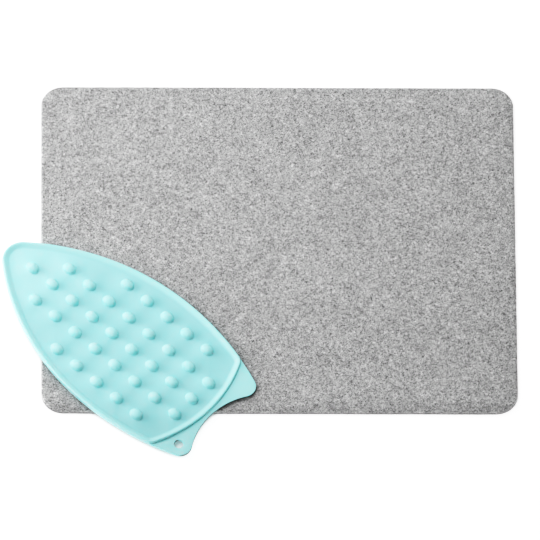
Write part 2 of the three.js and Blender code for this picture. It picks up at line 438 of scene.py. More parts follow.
# %% [markdown]
# ## The felt's finish
# The grey of this felt is a mix of near-white and dark fibres, matted in every direction, so from a step away it is a
# fine salt-and-pepper of short worm-like flecks, with paler and darker clouds under them. One round noise gives blobs,
# so the flecks come from noise that is stretched along three directions and laid over itself. The same value drives a
# bump, because the light fibres are the ones that lie on top. Painted shade makes the front and right margins a little
# darker than the middle, where the lamps fall off. The cut edge has a painted highlight at its lip and painted shade
# at its dark foot, and a narrow painted shadow lies on the felt beside the rest.

# %% A node group for matted fibres
FLECK_LENGTH = 2.8 * MM
FLECK_WIDTH = 1.0 * MM
FLECK_DEGREES = (15, 75, 135)
FLECK_SHIFT = 17.0


def make_matted_fibres():
    takes = [("Coordinates", "Vector", None), ("Length", "Float", FLECK_LENGTH), ("Width", "Float", FLECK_WIDTH)]
    group, given, result = new_group("matted_fibres", "ShaderNodeTree", takes, [("Fibres", "Float")])
    along = add_math(group, "DIVIDE", 1.0, given.outputs["Length"])
    across = add_math(group, "DIVIDE", 1.0, given.outputs["Width"])
    stretch = add_node(group, "ShaderNodeCombineXYZ", {"X": along, "Y": across, "Z": across})
    total = None
    for number, degrees in enumerate(FLECK_DEGREES):
        turned = add_node(group, "ShaderNodeVectorRotate", {
            "Vector": given.outputs["Coordinates"], "Angle": math.radians(degrees)}, rotation_type="Z_AXIS")
        scaled = add_node(group, "ShaderNodeVectorMath", {0: turned, 1: stretch}, operation="MULTIPLY")
        shifted = add_node(group, "ShaderNodeVectorMath", {
            0: scaled, 1: (FLECK_SHIFT * number, 0, 0)}, operation="ADD")
        strand = add_node(group, "ShaderNodeTexNoise", {
            "Vector": shifted, "Scale": 1.0, "Detail": 2.0, "Roughness": 0.6, "Distortion": 0.9})
        total = strand if total is None else add_math(group, "ADD", total, strand)
    mean = add_math(group, "DIVIDE", total, float(len(FLECK_DEGREES)))
    group.links.new(mean.outputs[0], result.inputs["Fibres"])
    return group


matted_fibres = make_matted_fibres()


def add_fibres(tree, coordinates, length, width):
    return add_node(tree, "ShaderNodeGroup", {
        "Coordinates": coordinates, "Length": length, "Width": width}, node_tree=matted_fibres)


print("group:", matted_fibres.name, "nodes:", len(matted_fibres.nodes))

# %% Fades, and the shade beside the rest
SHADE_REACH = 20 * MM
CONTACT_SHADE = ((0, 1), (0.4, 1), (0.6, 0.72), (0.7, 0.78), (0.85, 0.91), (1, 1))


def add_fade(tree, value, start, end, first_tone):
    """A tone that goes smoothly from its first value to 1."""
    return add_node(tree, "ShaderNodeMapRange", {
        "Value": value, "From Min": start, "From Max": end, "To Min": first_tone}, interpolation_type="SMOOTHSTEP")


def add_curve(tree, value, points):
    curve = add_node(tree, "ShaderNodeFloatCurve", {"Value": value})
    set_curve(curve.mapping, curve.mapping.curves[0], points)
    return curve


def add_contact_shade(tree):
    """A tone that is dark beside whatever lies on the surface, and 1 in the open."""
    openness = add_node(tree, "ShaderNodeAmbientOcclusion", {"Distance": SHADE_REACH}).outputs["AO"]
    return add_curve(tree, openness, CONTACT_SHADE)


print("reach of the shade in mm:", round(SHADE_REACH / MM, 1))

# %% The tone of the felt
FELT_GREY = 0.388
FELT_CONTRAST = 5.9
FELT_CLOUDS = ((3 * MM, 0.5), (6 * MM, 0.7), (16 * MM, 0.4), (60 * MM, 0.14))
MARGIN_WIDTH = 16 * MM
# Painted shade: the felt's front and right margins are darker, where the lamps fall off.
FRONT_MARGIN_PAINTED_SHADE = 0.86
RIGHT_MARGIN_PAINTED_SHADE = 0.93
# Painted shade on the foot of the cut edge, and a painted highlight on the edge below the top face, from its lip down.
EDGE_FOOT_PAINTED_SHADE = 0.38
EDGE_FOOT_SHADE_HEIGHTS = (0.6 * MM, 3.6 * MM)
LIP_PAINTED_HIGHLIGHT = 1.38
LIP_HIGHLIGHT_HEIGHTS = (4.4 * MM, 5.0 * MM)


def felt_grey(tree, coordinates, fibres):
    centred = add_math(tree, "SUBTRACT", fibres.outputs["Fibres"], 0.5)
    swing = add_math(tree, "MULTIPLY", centred, FELT_CONTRAST)
    tone = add_math(tree, "ADD", swing, 1.0)
    spot = add_node(tree, "ShaderNodeSeparateXYZ", {0: coordinates})
    changes = [add_cloud(tree, coordinates, *cloud) for cloud in FELT_CLOUDS]
    changes += [
        add_contact_shade(tree),
        # Painted shade on the front and right margins, where the lamps fall off.
        add_fade(tree, spot.outputs["Y"], mat_low.y, mat_low.y + MARGIN_WIDTH, FRONT_MARGIN_PAINTED_SHADE),
        add_fade(tree, spot.outputs["X"], mat_high.x, mat_high.x - MARGIN_WIDTH, RIGHT_MARGIN_PAINTED_SHADE),
        # Painted shade at the cut edge's foot, and a painted highlight at its lip.
        add_fade(tree, spot.outputs["Z"], *EDGE_FOOT_SHADE_HEIGHTS, EDGE_FOOT_PAINTED_SHADE),
        add_fade(tree, spot.outputs["Z"], *LIP_HIGHLIGHT_HEIGHTS, LIP_PAINTED_HIGHLIGHT),
    ]
    for change in changes:
        tone = add_math(tree, "MULTIPLY", tone, change)
    return add_math(tree, "MULTIPLY", tone, FELT_GREY)


print("clouds in the felt:", len(FELT_CLOUDS))

# %% The felt material
FELT_BUMP = 0.5 * MM
FELT_BUMP_STRENGTH = 0.6
FELT_ROUGHNESS = 0.95
FELT_SHINE = 0.15
FELT_SHEEN = 0.08
FELT_SHEEN_ROUGHNESS = 0.5


def felt_material():
    material, tree, shader = new_material("heathered_felt")
    coordinates = add_node(tree, "ShaderNodeTexCoord").outputs["Object"]
    fibres = add_fibres(tree, coordinates, FLECK_LENGTH, FLECK_WIDTH)
    tree.links.new(felt_grey(tree, coordinates, fibres).outputs[0], shader.inputs["Base Color"])
    bump = add_node(tree, "ShaderNodeBump", {
        "Strength": FELT_BUMP_STRENGTH, "Distance": FELT_BUMP, "Height": fibres})
    tree.links.new(bump.outputs["Normal"], shader.inputs["Normal"])
    shader.inputs["Roughness"].default_value = FELT_ROUGHNESS
    shader.inputs["Specular IOR Level"].default_value = FELT_SHINE
    shader.inputs["Sheen Weight"].default_value = FELT_SHEEN
    shader.inputs["Sheen Roughness"].default_value = FELT_SHEEN_ROUGHNESS
    return material


felt_finish = felt_material()
felt_slab.data.materials.append(felt_finish)
print("felt material nodes:", len(felt_finish.node_tree.nodes))

# %% [markdown]
# ## Loose fibres along the cut edge
# A die never cuts every fibre clean: short ends stand out all round the slab and soften its outline. They repeat by
# the thousand, so a Geometry Nodes tree makes them. One bent fibre is a thin three-sided tube along a curve. Points
# are scattered over the faces that look sideways, with a fixed seed so that every run gives the same fuzz, and each
# point gets a copy that leaves the edge at its own angle and length. A fibre has few faces, because there are so many.

# %% One fibre
FIBRE_LENGTH = 1.3 * MM
FIBRE_THICKNESS = 0.09 * MM
FIBRE_BEND = 0.35 * MM
FIBRE_SIDES = 3
FIBRE_STEPS = 3


def add_fibre(tree, given):
    """A bent tube that stands on the origin."""
    half_way = add_math(tree, "DIVIDE", given.outputs["Length"], 2.0)
    middle = add_node(tree, "ShaderNodeCombineXYZ", {"X": given.outputs["Bend"], "Z": half_way})
    tip = add_node(tree, "ShaderNodeCombineXYZ", {"Z": given.outputs["Length"]})
    bow = add_node(tree, "GeometryNodeCurveQuadraticBezier", {
        "Resolution": FIBRE_STEPS, "Start": (0, 0, 0), "Middle": middle, "End": tip})
    ring = add_node(tree, "GeometryNodeCurvePrimitiveCircle", {
        "Resolution": FIBRE_SIDES, "Radius": add_math(tree, "DIVIDE", given.outputs["Thickness"], 2.0)})
    return add_node(tree, "GeometryNodeCurveToMesh", {"Curve": bow, "Profile Curve": ring, "Fill Caps": True})


print("fibre length in mm:", round(FIBRE_LENGTH / MM, 2))

# %% The tree that makes the fuzz
FIBRE_DENSITY = 0.9 / MM ** 2
FIBRE_TILT = 0.5
FIBRE_GROWTH = (0.4, 1.2)
FUZZ_SEED = 11
SIDE_FACING = 0.25
SIDE_SPREAD = 0.35


def scatter_on_side(tree, given):
    """Points on the faces that look sideways or slightly up."""
    facing = add_node(tree, "ShaderNodeSeparateXYZ", {0: add_node(tree, "GeometryNodeInputNormal")}).outputs["Z"]
    sideways = add_node(tree, "ShaderNodeMath", {0: facing, 1: SIDE_FACING, 2: SIDE_SPREAD}, operation="COMPARE")
    return add_node(tree, "GeometryNodeDistributePointsOnFaces", {
        "Mesh": given.outputs["Geometry"], "Selection": sideways, "Density": given.outputs["Density"],
        "Seed": given.outputs["Seed"]})


def make_fuzz_tree():
    takes = [("Geometry", "Geometry", None), ("Length", "Float", FIBRE_LENGTH),
             ("Thickness", "Float", FIBRE_THICKNESS), ("Bend", "Float", FIBRE_BEND),
             ("Density", "Float", FIBRE_DENSITY), ("Seed", "Int", FUZZ_SEED), ("Material", "Material", None)]
    tree, given, result = new_group("edge_fuzz", "GeometryNodeTree", takes, [("Geometry", "Geometry")])
    spots = scatter_on_side(tree, given)
    lean = add_node(tree, "FunctionNodeRandomValue", {
        "Min": (-FIBRE_TILT, -FIBRE_TILT, -math.pi), "Max": (FIBRE_TILT, FIBRE_TILT, math.pi),
        "Seed": given.outputs["Seed"]}, data_type="FLOAT_VECTOR")
    turned = add_node(tree, "FunctionNodeRotateRotation", {
        "Rotation": spots.outputs["Rotation"], "Rotate By": lean.outputs["Value"]}, rotation_space="LOCAL")
    growth = add_node(tree, "FunctionNodeRandomValue", {
        2: FIBRE_GROWTH[0], 3: FIBRE_GROWTH[1], "Seed": given.outputs["Seed"]}, data_type="FLOAT")
    copies = add_node(tree, "GeometryNodeInstanceOnPoints", {
        "Points": spots, "Instance": add_fibre(tree, given), "Rotation": turned, "Scale": growth.outputs[1]})
    real = add_node(tree, "GeometryNodeRealizeInstances", {"Geometry": copies})
    finish = add_node(tree, "GeometryNodeSetMaterial", {"Geometry": real, "Material": given.outputs["Material"]})
    tree.links.new(finish.outputs[0], result.inputs["Geometry"])
    return tree


fuzz_tree = make_fuzz_tree()
print("tree:", fuzz_tree.name, "nodes:", len(fuzz_tree.nodes))


# %% Run a tree on an object and keep the plain mesh
def grow(carrier, tree, values):
    """The mesh that a Geometry Nodes tree makes on an object, with its named inputs set."""
    modifier = carrier.modifiers.new(tree.name, "NODES")
    modifier.node_group = tree
    for item in tree.interface.items_tree:
        if item.in_out == "INPUT" and item.name in values:
            modifier[item.identifier] = values[item.name]
    depsgraph = bpy.context.evaluated_depsgraph_get()
    mesh = bpy.data.meshes.new_from_object(carrier.evaluated_get(depsgraph))
    carrier.modifiers.remove(modifier)
    return mesh


edge_fuzz = bpy.data.objects.new("felt_edge_fuzz", grow(felt_slab, fuzz_tree, {"Material": felt_finish}))
bpy.context.scene.collection.objects.link(edge_fuzz)
print("fuzz faces:", len(edge_fuzz.data.polygons), "open edges:", open_edges(edge_fuzz.data))

# %% [markdown]
# ## The rest's plan
# Seen from above, the rest is an iron's sole plate: a small round nose, two long bowed sides, and a heel that is a
# shallow arc. Each arc meets the next without a kink, so a centre, a radius and two bearings describe it fully. The
# arcs are worked out in the rest's own frame, where x counts from the nose along the axis and y runs across it. An
# inset only shortens the radius, so the same arcs give the rim's outer edge, its crest and the border of its floor.

# %% The rest's sizes
REST_WIDTH = 141.5 * MM
NOSE_RADIUS = 19.2 * MM
NOSE_TO_WIDEST = 161.2 * MM
REAR_SIDE_RADIUS = 274 * MM
WIDEST_TO_HEEL = 89.2 * MM
HEEL_RADIUS = 130 * MM
HEEL_CORNER_RADIUS = 10 * MM
HEEL_TO_TAIL = 3.4 * MM
TAIL_RADIUS = 69 * MM
EAR_TIP_RADIUS = 11 * MM
ARC_SAG = 0.008 * MM
half_width = REST_WIDTH / 2
heel_station = NOSE_TO_WIDEST + WIDEST_TO_HEEL
print("tray length and width in mm:", round(heel_station / MM, 1), round(REST_WIDTH / MM, 1))


# %% The arcs on the +y side
def circles_meet(centre_a, radius_a, centre_b, radius_b):
    """The crossing of two circles that lies on the +y side."""
    apart = centre_b - centre_a
    gap = apart.length
    along = (gap ** 2 + radius_a ** 2 - radius_b ** 2) / (2 * gap)
    across = math.sqrt(radius_a ** 2 - along ** 2)
    unit = apart / gap
    normal = Vector((-unit.y, unit.x))
    side = 1 if normal.y >= 0 else -1
    return centre_a + unit * along + normal * side * across


def bearing(start, end):
    return math.atan2(end.y - start.y, end.x - start.x)


nose_centre = Vector((NOSE_RADIUS, 0))
fore_side_radius = ((NOSE_TO_WIDEST - NOSE_RADIUS) ** 2 + half_width ** 2 - NOSE_RADIUS ** 2) / (
    2 * (half_width - NOSE_RADIUS))
fore_side_centre = Vector((NOSE_TO_WIDEST, half_width - fore_side_radius))
rear_side_centre = Vector((NOSE_TO_WIDEST, half_width - REAR_SIDE_RADIUS))
heel_centre = Vector((heel_station - HEEL_RADIUS, 0))
heel_corner_centre = circles_meet(rear_side_centre, REAR_SIDE_RADIUS - HEEL_CORNER_RADIUS,
                                  heel_centre, HEEL_RADIUS - HEEL_CORNER_RADIUS)
side_bearing = bearing(fore_side_centre, nose_centre)
corner_start = bearing(rear_side_centre, heel_corner_centre)
corner_end = bearing(heel_centre, heel_corner_centre)
TRAY_ARCS = [
    (nose_centre, NOSE_RADIUS, math.pi, side_bearing),
    (fore_side_centre, fore_side_radius, side_bearing, math.pi / 2),
    (rear_side_centre, REAR_SIDE_RADIUS, math.pi / 2, corner_start),
    (heel_corner_centre, HEEL_CORNER_RADIUS, corner_start, corner_end),
    (heel_centre, HEEL_RADIUS, corner_end, 0),
]
print("radii of the arcs in mm:", [round(radius / MM, 1) for _, radius, _, _ in TRAY_ARCS])


# %% Points along the outline
def arc_points(centre, radius, start, end, inset=0.0):
    """Points along an arc, without its last one. Their number doesn't depend on the inset."""
    steps = math.ceil(abs(end - start) / (2 * math.acos(1 - ARC_SAG / radius)))
    angles = start + (end - start) * np.arange(steps) / steps
    return np.array(centre) + (radius - inset) * np.column_stack([np.cos(angles), np.sin(angles)])


def tray_outline(inset):
    """The closed outline of the tray, drawn in by an inset."""
    upper = np.concatenate([arc_points(*arc, inset) for arc in TRAY_ARCS])
    lower = upper[:0:-1] * (1, -1)
    return np.concatenate([upper, [(heel_station - inset, 0)], lower])


print("tray outline points:", len(tray_outline(0)))

# %% [markdown]
# ## The rim
# Along the whole outline runs a soft bead that keeps the iron from sliding off. In section the outer wall ends in a
# narrow rounded crest, and from there the bead falls away inside in one slow S to the floor. Rings of points at each
# inset of the section, skinned one to the next, make it: this is a loft, and it keeps the bead's width even round
# the tight nose.

# %% The section of the rim
FLOOR_THICKNESS = 2.5 * MM
BEAD_WIDTH = 7.2 * MM
BEAD_CREST_INSET = 1.2 * MM
BEAD_HEIGHT = 2.4 * MM
REST_EDGE_RADIUS = 0.5 * MM
WALL_STEPS = 4
CREST_STEPS = 9
SLOPE_STEPS = 14


def rim_section():
    """From the underside, up the wall, over the bead and down to the floor, as (inset, height)."""
    edge = [(REST_EDGE_RADIUS * (1 - math.sin(t)), REST_EDGE_RADIUS * (1 - math.cos(t)))
            for t in np.linspace(0, math.pi / 2, WALL_STEPS + 1)]
    crest = [(BEAD_CREST_INSET * (1 - math.cos(t)), FLOOR_THICKNESS + BEAD_HEIGHT * math.sin(t))
             for t in np.linspace(0, math.pi / 2, CREST_STEPS + 1)]
    slope = [(BEAD_CREST_INSET + (BEAD_WIDTH - BEAD_CREST_INSET) * s,
              FLOOR_THICKNESS + BEAD_HEIGHT * (1 + math.cos(math.pi * s)) / 2)
             for s in np.linspace(0, 1, SLOPE_STEPS + 1)[1:]]
    return edge + crest + slope


rim = rim_section()
print("rings in the rim:", len(rim), "height in mm:", round(max(height for _, height in rim) / MM, 2))

# %% [markdown]
# ## The nubs
# Thirty-five oval domes stand on the floor in five columns and carry the hot sole plate clear of it. Each is the same
# shape, so a Geometry Nodes tree makes one dome and puts it on a list of points. A grid is rolled up into the dome:
# one side of the grid becomes the way round, the other the way from the crown to the foot. Two Float Curves say how
# far out and how high that way has come: half an ellipse, and then a small fillet that runs out into the floor.

# %% Where the nubs stand
NUB_LENGTH = 13.6 * MM
NUB_WIDTH = 10.2 * MM
NUB_HEIGHT = 5 * MM
NUB_FIRST_STATION = 31.1 * MM
NUB_ROW_PITCH = 24.84 * MM
NUB_COLUMNS = (0, 22.5 * MM, -22.5 * MM, 46.75 * MM, -46.75 * MM)
NUB_TO_BEAD = 1.4 * MM


def side_at(station):
    """Half the width of the tray at a station ahead of the heel."""
    if station < NOSE_TO_WIDEST:
        centre, radius = fore_side_centre, fore_side_radius
    else:
        centre, radius = rear_side_centre, REAR_SIDE_RADIUS
    return centre.y + math.sqrt(radius ** 2 - (station - centre.x) ** 2)


def nub_places():
    """Every place of the grid of nubs that keeps clear of the bead."""
    clear = BEAD_WIDTH + NUB_TO_BEAD
    places = []
    for station in np.arange(NUB_FIRST_STATION, heel_station, NUB_ROW_PITCH):
        for column in NUB_COLUMNS:
            reach = abs(column) + NUB_WIDTH / 2
            heel_here = heel_centre.x + math.sqrt(HEEL_RADIUS ** 2 - reach ** 2)
            if reach + clear <= side_at(station) and station + NUB_LENGTH / 2 + clear <= heel_here:
                places.append((station, column, FLOOR_THICKNESS))
    return places


places = nub_places()
print("nubs:", len(places))

# %% One nub
NUB_FILLET = 0.6 * MM
NUB_REACH = ((0, 0), (0.17, 0.235), (0.34, 0.455), (0.51, 0.643), (0.68, 0.788), (0.85, 0.877), (0.93, 0.925), (1, 1))
NUB_RISE = ((0, 1), (0.17, 0.966), (0.34, 0.866), (0.51, 0.707), (0.68, 0.5), (0.85, 0.20), (0.93, 0.045), (1, 0))
NUB_SIDES = 32
NUB_RINGS = 15
SEAM_GAP = 0.005 * MM


def add_product(tree, first, second, third):
    return add_math(tree, "MULTIPLY", add_math(tree, "MULTIPLY", first, second), third)


def add_foot(tree, given, size):
    """Half a length or width of the nub, with its fillet."""
    return add_math(tree, "ADD", add_math(tree, "DIVIDE", given.outputs[size], 2.0), given.outputs["Fillet"])


def add_nub(tree, given):
    """A grid that is rolled up into a dome, with its seam merged."""
    columns = add_math(tree, "ADD", given.outputs["Sides"], 1.0)
    rows = add_math(tree, "ADD", given.outputs["Rings"], 1.0)
    sheet = add_node(tree, "GeometryNodeMeshGrid", {
        "Size X": 1.0, "Size Y": 1.0, "Vertices X": columns, "Vertices Y": rows})
    spot = add_node(tree, "ShaderNodeSeparateXYZ", {0: add_node(tree, "GeometryNodeInputPosition")})
    turn = add_math(tree, "MULTIPLY", spot.outputs["X"], 2 * math.pi)
    way = add_math(tree, "SUBTRACT", 0.5, spot.outputs["Y"])
    reach = add_curve(tree, way, NUB_REACH)
    x = add_product(tree, add_math(tree, "COSINE", turn), reach, add_foot(tree, given, "Length"))
    y = add_product(tree, add_math(tree, "SINE", turn), reach, add_foot(tree, given, "Width"))
    z = add_math(tree, "MULTIPLY", add_curve(tree, way, NUB_RISE), given.outputs["Height"])
    rolled = add_node(tree, "GeometryNodeSetPosition", {
        "Geometry": sheet, "Position": add_node(tree, "ShaderNodeCombineXYZ", {"X": x, "Y": y, "Z": z})})
    return add_node(tree, "GeometryNodeMergeByDistance", {"Geometry": rolled, "Distance": SEAM_GAP})


print("faces in a nub:", NUB_SIDES * NUB_RINGS)


# %% The tree that makes the nubs
def make_nub_tree():
    takes = [("Geometry", "Geometry", None), ("Length", "Float", NUB_LENGTH), ("Width", "Float", NUB_WIDTH),
             ("Height", "Float", NUB_HEIGHT), ("Fillet", "Float", NUB_FILLET), ("Sides", "Int", NUB_SIDES),
             ("Rings", "Int", NUB_RINGS), ("Material", "Material", None)]
    tree, given, result = new_group("rest_nubs", "GeometryNodeTree", takes, [("Geometry", "Geometry")])
    copies = add_node(tree, "GeometryNodeInstanceOnPoints", {
        "Points": given.outputs["Geometry"], "Instance": add_nub(tree, given)})
    real = add_node(tree, "GeometryNodeRealizeInstances", {"Geometry": copies})
    finish = add_node(tree, "GeometryNodeSetMaterial", {"Geometry": real, "Material": given.outputs["Material"]})
    tree.links.new(finish.outputs[0], result.inputs["Geometry"])
    return tree


nub_tree = make_nub_tree()
print("tree:", nub_tree.name, "nodes:", len(nub_tree.nodes))

# %% Grow the nubs
silicone_finish, silicone_tree, silicone_shader = new_material("aqua_silicone")
nub_points = mesh_piece("nub_points", places, [])
nub_mesh = grow(nub_points, nub_tree, {"Material": silicone_finish})
bpy.data.objects.remove(nub_points)
print("nub faces:", len(nub_mesh.polygons), "open edges at the feet:", open_edges(nub_mesh))

# %% [markdown]
# ## The tray in one skin
# The nubs and the rim are cast in one shot, so they have to be one skin. The floor is what joins them: its border is
# the rim's inner ring, and every nub's foot is a hole in it. A constrained Delaunay triangulation fills a flat outline
# with holes, and merging the corners that coincide closes the skin.

# %% Skin rings and fill flat outlines
INSIDE_OUTLINE = 1


def skin_rings(shell, rings):
    """Faces between neighbouring closed rings of points, and the corners of the first and last ring."""
    corners = [[shell.verts.new(point) for point in ring] for ring in rings]
    for lower, upper in zip(corners, corners[1:]):
        for i in range(len(lower)):
            j = (i + 1) % len(lower)
            shell.faces.new((lower[j], lower[i], upper[i], upper[j]))
    return corners[0], corners[-1]


def fill_flat(shell, loops):
    """Fill a level outline, the first loop, with triangles, and leave open the round holes, the other loops."""
    corners = [corner for loop in loops for corner in loop]
    owner = [number for number, loop in enumerate(loops) for _ in loop]
    edges = []
    for loop in loops:
        start = len(edges)
        edges += [(start + i, start + (i + 1) % len(loop)) for i in range(len(loop))]
    flat = [Vector((corner.co.x, corner.co.y)) for corner in corners]
    _, _, triangles, origins, *_ = geometry.delaunay_2d_cdt(flat, edges, [], INSIDE_OUTLINE, TINY)
    faces = []
    for triangle in triangles:
        picked = [origins[i][0] for i in triangle]
        owners = {owner[i] for i in picked}
        if owners == {0} or len(owners) > 1:
            faces.append(shell.faces.new([corners[i] for i in picked]))
    return faces


print("points in the rings of the rim:", len(rim) * len(tray_outline(0)))


# %% Join rim, floor and nubs
def border_loops(shell):
    """Closed loops of corners along the edges that have one face."""
    onward = {}
    for edge in shell.edges:
        if len(edge.link_faces) == 1:
            loop = edge.link_loops[0]
            onward[loop.link_loop_next.vert] = loop.vert
    loops = []
    while onward:
        first = next(iter(onward))
        loop = [first]
        step = onward.pop(first)
        while step is not first:
            loop.append(step)
            step = onward.pop(step)
        loops.append(loop)
    return loops


def build_tray():
    shell = bmesh.new()
    shell.from_mesh(nub_mesh)
    feet = border_loops(shell)
    rings = [[(x, y, height) for x, y in tray_outline(inset)] for inset, height in rim]
    under, floor_border = skin_rings(shell, rings)
    fill_flat(shell, [floor_border, *feet])
    for face in fill_flat(shell, [under]):
        face.normal_flip()
    bmesh.ops.remove_doubles(shell, verts=shell.verts, dist=SEAM_GAP)
    bmesh.ops.recalc_face_normals(shell, faces=shell.faces)
    mesh = bpy.data.meshes.new("tray")
    shell.to_mesh(mesh)
    shell.free()
    return mesh


tray_mesh = build_tray()
print("tray faces:", len(tray_mesh.polygons), "open edges:", open_edges(tray_mesh))

# %% [markdown]
# ## The ears
# Behind the heel the moulding goes on as a thin flat flange, hollowed between two ears that are easy to take hold of.
# One ear has a hole to hang the rest by. The flange is a plate with rounded edges, made of rings as the rim is. The
# hollow curves the other way, so there an inset makes the radius longer.

# %% The plan of the ears
EAR_ROOT = 3 * MM
HANG_HOLE_DIAMETER = 8.4 * MM
HANG_HOLE_SETBACK = 1.4 * MM
HOLE_SIDES = 40
tail_centre = Vector((heel_station + HEEL_TO_TAIL + TAIL_RADIUS, 0))
ear_centre = circles_meet(rear_side_centre, REAR_SIDE_RADIUS - EAR_TIP_RADIUS,
                          tail_centre, TAIL_RADIUS + EAR_TIP_RADIUS)
ear_start = bearing(rear_side_centre, ear_centre)
ear_end = bearing(ear_centre, tail_centre)
hollow = bearing(tail_centre, ear_centre)
hole_centre = Vector((ear_centre.x - HANG_HOLE_SETBACK, -ear_centre.y))


def ear_outline(inset):
    """The flange's outline: its outer side takes the inset, its inner side lies hidden in the heel's bead."""
    outer = np.concatenate([
        arc_points(rear_side_centre, REAR_SIDE_RADIUS, corner_start, ear_start, inset),
        arc_points(ear_centre, EAR_TIP_RADIUS, ear_start, ear_end, inset),
        arc_points(tail_centre, TAIL_RADIUS, hollow, math.pi, -inset),
    ])
    inner = np.concatenate([
        arc_points(heel_centre, HEEL_RADIUS - EAR_ROOT, 0, corner_end),
        arc_points(heel_corner_centre, HEEL_CORNER_RADIUS - EAR_ROOT, corner_end, corner_start),
    ])
    tail_tip = [(tail_centre.x - TAIL_RADIUS - inset, 0)]
    return np.concatenate([outer, tail_tip, outer[::-1] * (1, -1), inner[:0:-1] * (1, -1), inner])


def hole_outline(inset):
    turns = np.linspace(0, 2 * math.pi, HOLE_SIDES, endpoint=False)
    return np.array(hole_centre) + (HANG_HOLE_DIAMETER / 2 + inset) * np.column_stack([np.cos(turns), np.sin(turns)])


print("points in the plan of the ears:", len(ear_outline(0)), "and of the hole:", len(hole_outline(0)))

# %% Build the ears
EAR_THICKNESS = 2.4 * MM


def plate_section():
    quarter = np.linspace(0, math.pi / 2, WALL_STEPS + 1)
    under = [(REST_EDGE_RADIUS * (1 - math.sin(t)), REST_EDGE_RADIUS * (1 - math.cos(t))) for t in quarter]
    over = [(REST_EDGE_RADIUS * (1 - math.cos(t)), EAR_THICKNESS - REST_EDGE_RADIUS * (1 - math.sin(t)))
            for t in quarter]
    return under + over


def build_ears():
    shell = bmesh.new()
    section = plate_section()
    sides = [skin_rings(shell, [[(x, y, height) for x, y in outline(inset)] for inset, height in section])
             for outline in (ear_outline, hole_outline)]
    fill_flat(shell, [top for _, top in sides])
    fill_flat(shell, [under for under, _ in sides])
    bmesh.ops.remove_doubles(shell, verts=shell.verts, dist=SEAM_GAP)
    bmesh.ops.recalc_face_normals(shell, faces=shell.faces)
    mesh = bpy.data.meshes.new("ears")
    shell.to_mesh(mesh)
    shell.free()
    return mesh


ears_mesh = build_ears()
print("ear faces:", len(ears_mesh.polygons), "open edges:", open_edges(ears_mesh))

# %% [markdown]
# ## One moulding, laid on the mat
# A Boolean union merges the flange into the heel, so that the crease behind the bead is a real edge of one skin. Then
# the whole mesh is turned and moved to where the rest lies, its nose out over the mat's left edge. Edges sharper than
# a set angle stay crisp and the rest shades smooth.

# %% Unite and place the rest
NOSE_OVERHANG = 30.7 * MM
NOSE_FROM_FRONT = 169.5 * MM
REST_TURN = math.radians(-43.5)
CRISP_ANGLE = math.radians(38)
nose_place = Vector((mat_low.x - NOSE_OVERHANG, mat_low.y + NOSE_FROM_FRONT, rest_low.z))


def unite(name, first, second):
    """One skin from two closed meshes that overlap."""
    body = bpy.data.objects.new(name, first)
    tool = bpy.data.objects.new("tool", second)
    for thing in (body, tool):
        bpy.context.scene.collection.objects.link(thing)
    union = body.modifiers.new("union", "BOOLEAN")
    union.operation = "UNION"
    union.solver = "EXACT"
    union.object = tool
    mesh = bpy.data.meshes.new_from_object(body.evaluated_get(bpy.context.evaluated_depsgraph_get()))
    body.modifiers.remove(union)
    bpy.data.objects.remove(tool)
    body.data = mesh
    mesh.name = name
    return body


def lay_rest(rest):
    rest.data.transform(Matrix.Translation(nose_place) @ Matrix.Rotation(REST_TURN, 4, "Z"))
    rest.data.shade_smooth()
    rest.data.set_sharp_from_angle(angle=CRISP_ANGLE)


iron_rest = unite("iron_rest_moulding", tray_mesh, ears_mesh)
lay_rest(iron_rest)
print("rest faces:", len(iron_rest.data.polygons), "open edges:", open_edges(iron_rest.data))

# %% [markdown]
# ## The silicone's finish
# Cast silicone is satin, slightly translucent and very even, but never perfect: its gloss is a little patchy where it
# has been handled, and the mould leaves a fine tooth. So the roughness wanders in soft patches, a weak bump breaks up
# the reflections, and a little light goes through the surface. The colour carries painted light and shade: the tray's
# floor, low between the bead and the nubs and over the dark felt, is painted a deeper aqua of shade than the bead, the
# nubs and the ears, and is painted paler towards the nose, which lies over the white table. The height over the floor
# and the distance from the nose choose between these tones, and painted shade makes all of them a little dimmer at the
# front, as the felt's front margin is. The walls behind the ears that face rearward are painted as a dark line of
# shade.

# %% Blend the silicone's tones
# Painted light and shade in one silicone: a paler aqua towards the nose, a deeper aqua of painted shade on the tray
# floor, a paler aqua of painted light on the bead, nubs and ears, and a dark grey of painted shade on the rearward
# walls.
AQUA_NOSE_PAINTED_LIGHT = (0.425, 0.905, 0.935)
AQUA_FLOOR_PAINTED_SHADE = (0.345, 0.757, 0.785)
AQUA_PAINTED_LIGHT = (0.450, 0.925, 0.940)
TAIL_WALL_PAINTED_SHADE = (0.13, 0.18, 0.18)


def add_mix(tree, share, first, second):
    """Blend from one colour to another: each is a plain colour or the output of a node."""
    blend = add_node(tree, "ShaderNodeMix", {0: share}, data_type="RGBA")
    for socket, colour in ((blend.inputs[6], first), (blend.inputs[7], second)):
        if isinstance(colour, bpy.types.NodeSocket):
            tree.links.new(colour, socket)
        else:
            socket.default_value = (*colour, 1)
    return blend.outputs[2]


print("aqua of the thin floor:", AQUA_FLOOR_PAINTED_SHADE)

# %% The silicone's colour
# Spans and ranges of painted light and shade: the paler nose, the dimmer front, the shaded rearward walls, and the
# heights off the floor that take the paler tone.
NOSE_PAINTED_LIGHT_SPAN = (20 * MM, 105 * MM)
DIM_FRONT = (-45 * MM, 35 * MM)
FRONT_PAINTED_SHADE_TONE = 0.80
TAIL_SHADE_FACING = (0.45, 0.85)
PAINTED_LIGHT_ABOVE = (0 * MM, 1.2 * MM)
PAINTED_LIGHT_BELOW = (-0.03 * MM, -0.08 * MM)


def add_share(tree, value, base, offsets):
    """A share that goes evenly from 0 to 1 between two offsets from a base."""
    return add_node(tree, "ShaderNodeMapRange", {
        "Value": value, "From Min": base + offsets[0], "From Max": base + offsets[1]})


